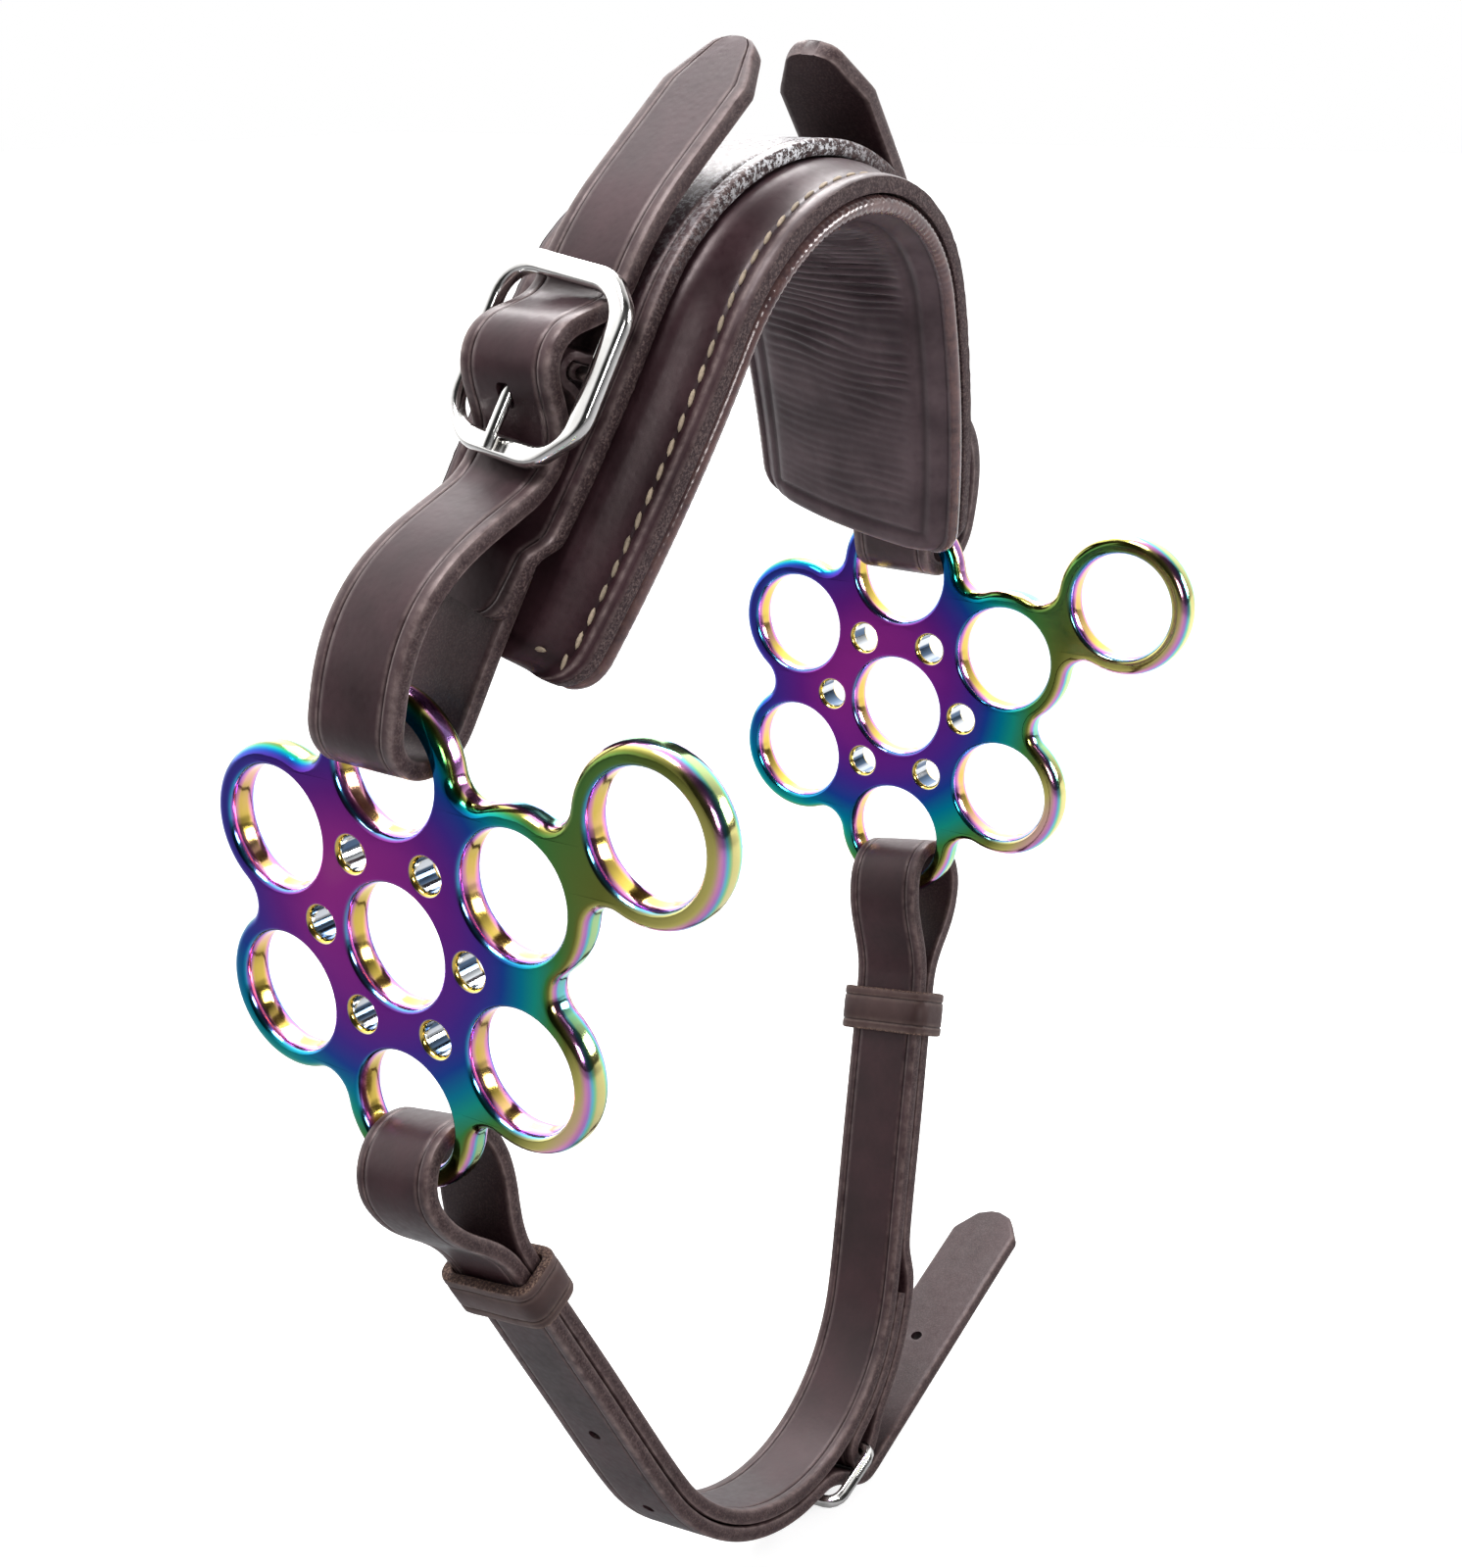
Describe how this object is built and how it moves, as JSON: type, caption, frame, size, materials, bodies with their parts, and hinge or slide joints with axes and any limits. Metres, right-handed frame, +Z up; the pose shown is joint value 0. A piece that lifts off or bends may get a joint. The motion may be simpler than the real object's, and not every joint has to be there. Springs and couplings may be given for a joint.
{
  "type": "hackamore",
  "caption": "Bitless hackamore: padded leather noseband and doubled chin strap joined by ringed metal cheek wheels, with buckles and keepers.",
  "frame": {"origin": "the middle of the lining's inner face under the top of the noseband, where it sits on the nose", "axes": "+X from the left wheel to the right wheel, -Y towards the side where the rein rings point, +Z up from the chin strap to the noseband"},
  "size_m": [0.1869, 0.1064, 0.2971],
  "materials": {
    "havana_leather": "dark brown bridle leather, waxed, with a slightly worn grain",
    "lining_leather": "soft dark lining leather, wrinkled across the pad",
    "foam": "closed-cell foam, hidden",
    "coated_steel": "polished steel plate with a rainbow vapour coat",
    "nickel_plate": "bright nickel plate"
  },
  "bodies": {
    "noseband": {"noseband_base": "havana_leather", "noseband_overlay": "havana_leather", "nose_pad_lining": "lining_leather", "nose_pad_foam": "foam", "nose_strap_left": "havana_leather", "nose_strap_right": "havana_leather", "nose_buckle_frame_left": "nickel_plate", "nose_buckle_frame_right": "nickel_plate", "nose_buckle_chape_left": "havana_leather", "nose_buckle_chape_right": "havana_leather"},
    "nose_prong_left": {"nose_buckle_prong_left": "nickel_plate"},
    "nose_prong_right": {"nose_buckle_prong_right": "nickel_plate"},
    "wheel_left": {"cheek_wheel_left": "coated_steel"},
    "wheel_right": {"cheek_wheel_right": "coated_steel"},
    "chin": {"chin_strap": "havana_leather", "chin_buckle_frame": "nickel_plate"},
    "chin_prong": {"chin_buckle_prong": "nickel_plate"},
    "keeper_left": {"chin_keeper_left": "havana_leather"},
    "keeper_right": {"chin_keeper_right": "havana_leather"}
  },
  "joints": [
    {"name": "wheel_left_swing", "type": "hinge", "parent": "noseband", "child": "wheel_left", "pos_m": [-0.078, 0.0157, -0.0775], "axis": [1, 0, 0], "range_deg": [-30, 30]},
    {"name": "wheel_right_swing", "type": "hinge", "parent": "noseband", "child": "wheel_right", "pos_m": [0.078, 0.0157, -0.0775], "axis": [1, 0, 0], "range_deg": [-30, 30]},
    {"name": "chin_strap_swing", "type": "hinge", "parent": "wheel_left", "child": "chin", "pos_m": [-0.078, 0.0157, -0.1375], "axis": [1, 0, 0], "range_deg": [-25, 25]},
    {"name": "keeper_left_slide", "type": "slide", "parent": "chin", "child": "keeper_left", "axis": [0.4086, -0.1585, -0.8989], "range_m": [0, 0.025]},
    {"name": "keeper_right_slide", "type": "slide", "parent": "chin", "child": "keeper_right", "axis": [-0.4086, -0.1585, -0.8989], "range_m": [0, 0.025]},
    {"name": "nose_prong_left_lift", "type": "hinge", "parent": "noseband", "child": "nose_prong_left", "pos_m": [-0.0527, 0.00486, -0.01602], "axis": [0.0696, 0.9878, 0.1395], "range_deg": [0, 8]},
    {"name": "nose_prong_right_lift", "type": "hinge", "parent": "noseband", "child": "nose_prong_right", "pos_m": [0.0527, 0.00486, -0.01602], "axis": [0.0696, -0.9878, -0.1395], "range_deg": [0, 8]},
    {"name": "chin_prong_lift", "type": "hinge", "parent": "chin", "child": "chin_prong", "pos_m": [0.01925, -0.00533, -0.25675], "axis": [0, -0.9848, 0.1736], "range_deg": [0, 8]}
  ],
  "couplings": [
    {"joint": "wheel_right_swing", "follows": "wheel_left_swing", "ratio": 1}
  ]
}
